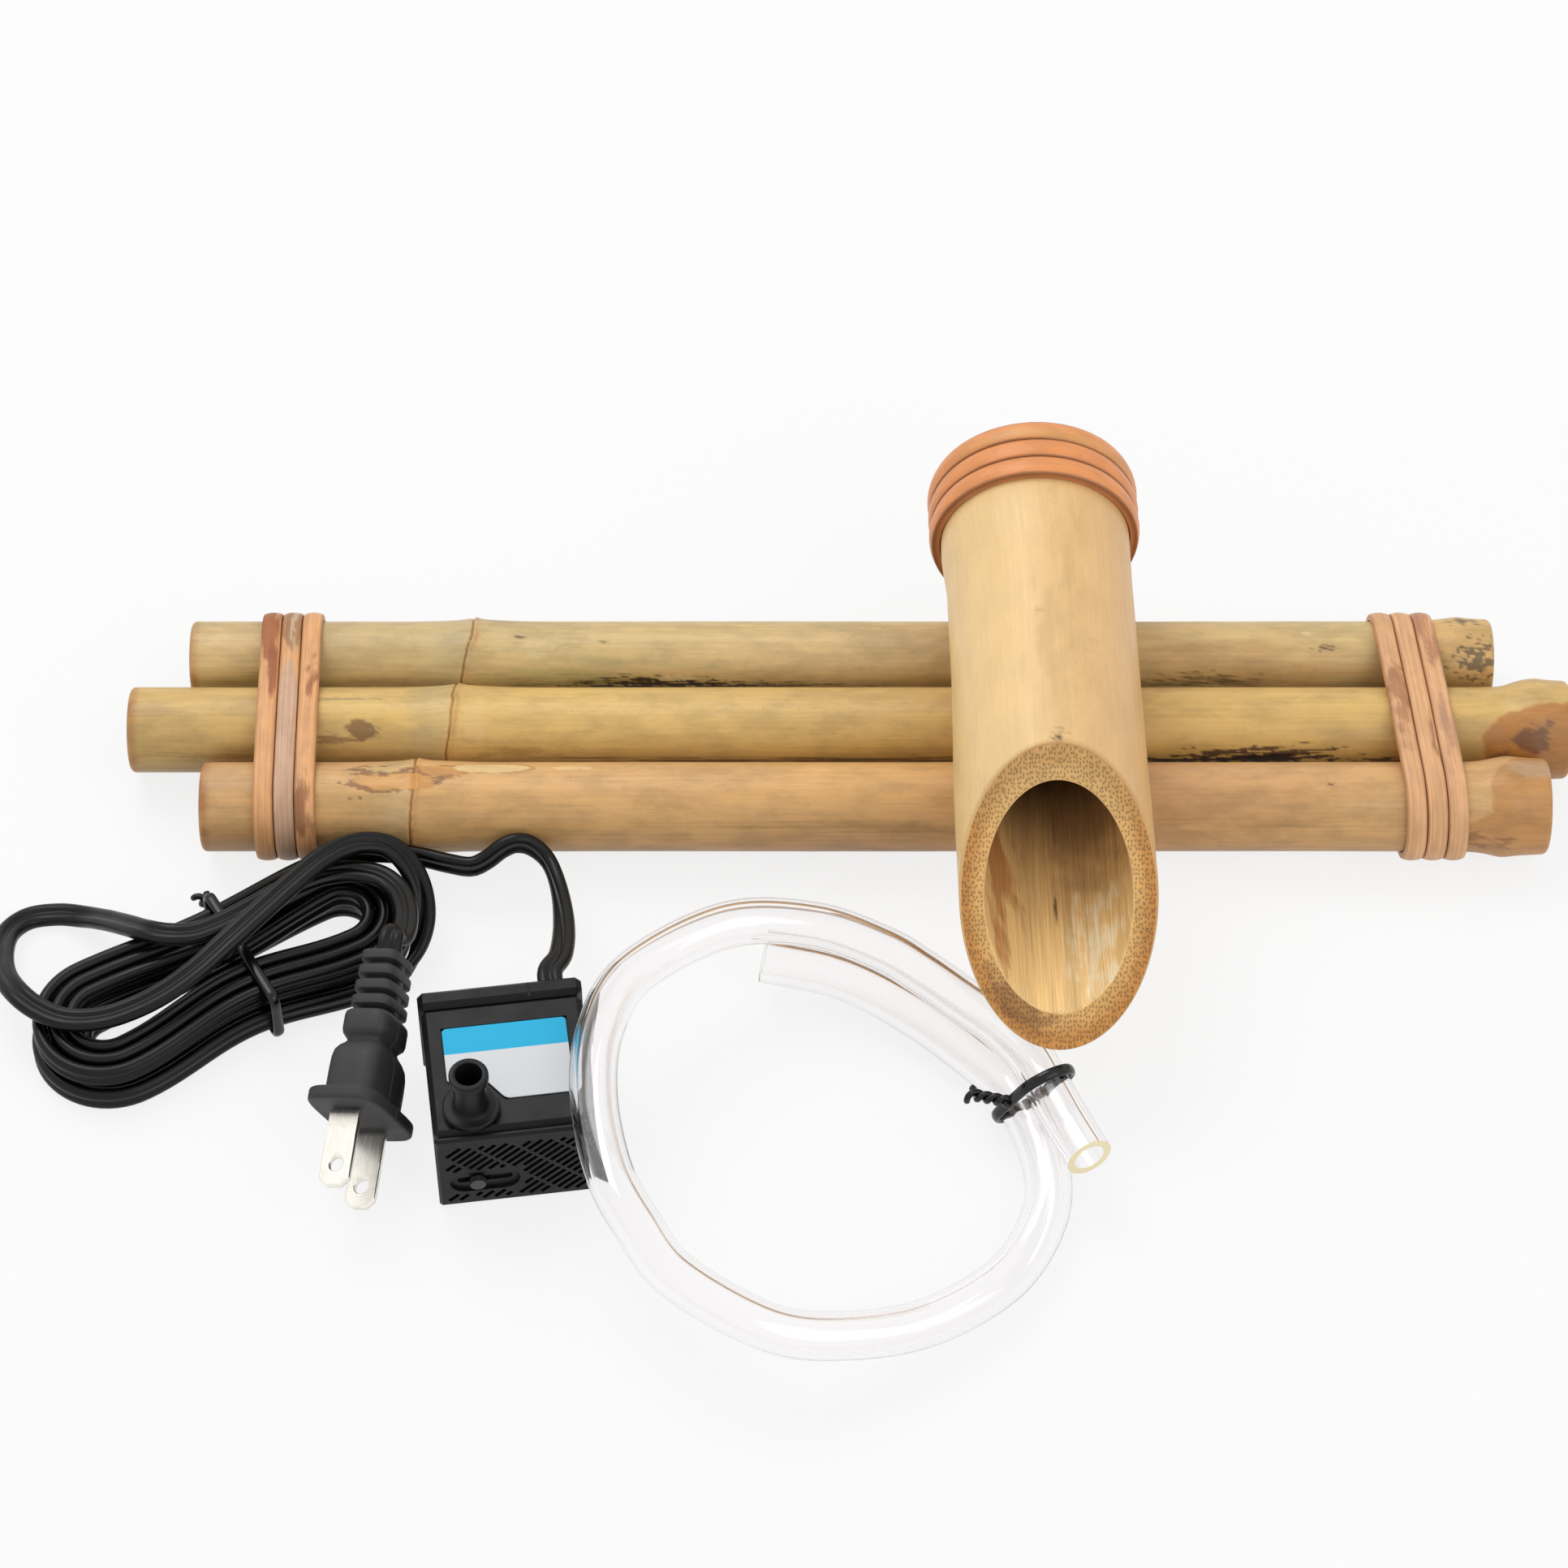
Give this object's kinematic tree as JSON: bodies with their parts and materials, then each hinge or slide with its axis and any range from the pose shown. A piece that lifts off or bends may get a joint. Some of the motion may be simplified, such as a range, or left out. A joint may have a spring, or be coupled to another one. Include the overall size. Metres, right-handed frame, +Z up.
{
  "type": "bamboo water spout",
  "caption": "Thick bamboo spout with a slanted mouth across lashed bamboo arms, with a small pump, folded cord and clear tubing.",
  "frame": {"origin": "on the table plane, under the middle of the box round the object without its cord and tubing", "axes": "+X along the bamboo arms, +Y away from the spout's mouth, +Z up"},
  "size_m": [0.3279, 0.2003, 0.0624],
  "materials": {
    "bamboo_green_tan": "smooth dry culm, satin",
    "bamboo_ochre": "smooth dry culm, satin",
    "bamboo_tan": "smooth dry culm, satin",
    "rattan_tan": "split cane strip, satin",
    "bamboo_pale": "smooth dry culm, satin",
    "peg_wood": "plain turned wood",
    "rattan_orange": "split cane strip, satin",
    "black_plastic": "moulded, fine satin",
    "grey_plastic": "moulded",
    "black_rubber": "soft, matt",
    "label_white": "printed label stock, left blank",
    "white_plastic": "moulded",
    "ceramic": "polished ceramic pin",
    "ferrite": "sintered magnet",
    "steel_sheet": "laminated sheet",
    "copper": "wound enamelled wire",
    "nickel": "nickel-plated brass",
    "cord_black": "soft vinyl, satin",
    "clear_vinyl": "clear soft vinyl"
  },
  "bodies": {
    "base": {"arm_back": "bamboo_green_tan", "arm_middle": "bamboo_ochre", "arm_front": "bamboo_tan", "binding_left": "rattan_tan", "binding_right": "rattan_tan", "spout_peg": "peg_wood", "pump_housing": "black_plastic", "pump_rear_cover": "black_plastic", "pump_foot_front_left": "black_rubber", "pump_foot_front_right": "black_rubber", "pump_foot_back_left": "black_rubber", "pump_foot_back_right": "black_rubber", "pump_label": "label_white", "pump_chamber_cover": "white_plastic", "pump_shaft": "ceramic", "pump_front_bush": "black_rubber", "pump_rear_bush": "black_rubber", "pump_stator_core": "steel_sheet", "pump_coil": "copper", "plug_body": "black_plastic", "plug_blade_upper": "nickel", "plug_blade_lower": "nickel", "power_cord_lead": "cord_black", "power_cord_hank": "cord_black", "power_cord_loop": "cord_black", "power_cord_tail": "cord_black", "cord_tie": "black_rubber", "tubing": "clear_vinyl", "tubing_tie": "black_rubber"},
    "spout": {"spout_tube": "bamboo_pale", "spout_wrap": "rattan_orange"},
    "intake_cover": {"pump_intake_cover": "black_plastic"},
    "flow_slider": {"pump_flow_slider": "grey_plastic"},
    "rotor": {"pump_impeller": "white_plastic", "pump_rotor_magnet": "ferrite"},
    "outlet": {"pump_outlet": "black_plastic"}
  },
  "joints": [
    {"name": "spout_swivel", "type": "hinge", "parent": "base", "child": "spout", "pos_m": [0.0394, 0.03427, 0.0199], "axis": [0, 0.029, 0.9996], "range_deg": [-20, 20]},
    {"name": "intake_cover_slide", "type": "slide", "parent": "base", "child": "intake_cover", "axis": [0.1305, -0.9914, 0], "range_m": [0, 0.012]},
    {"name": "flow_slide", "type": "slide", "parent": "intake_cover", "child": "flow_slider", "axis": [0.9914, 0.1305, 0], "range_m": [-0.003, 0.006]},
    {"name": "rotor_spin", "type": "hinge", "parent": "base", "child": "rotor", "pos_m": [-0.06835, -0.05854, 0.0105], "axis": [-0.1305, 0.9914, 0], "continuous": true},
    {"name": "outlet_pull", "type": "slide", "parent": "base", "child": "outlet", "axis": [0, 0, 1], "range_m": [0, 0.01]}
  ]
}
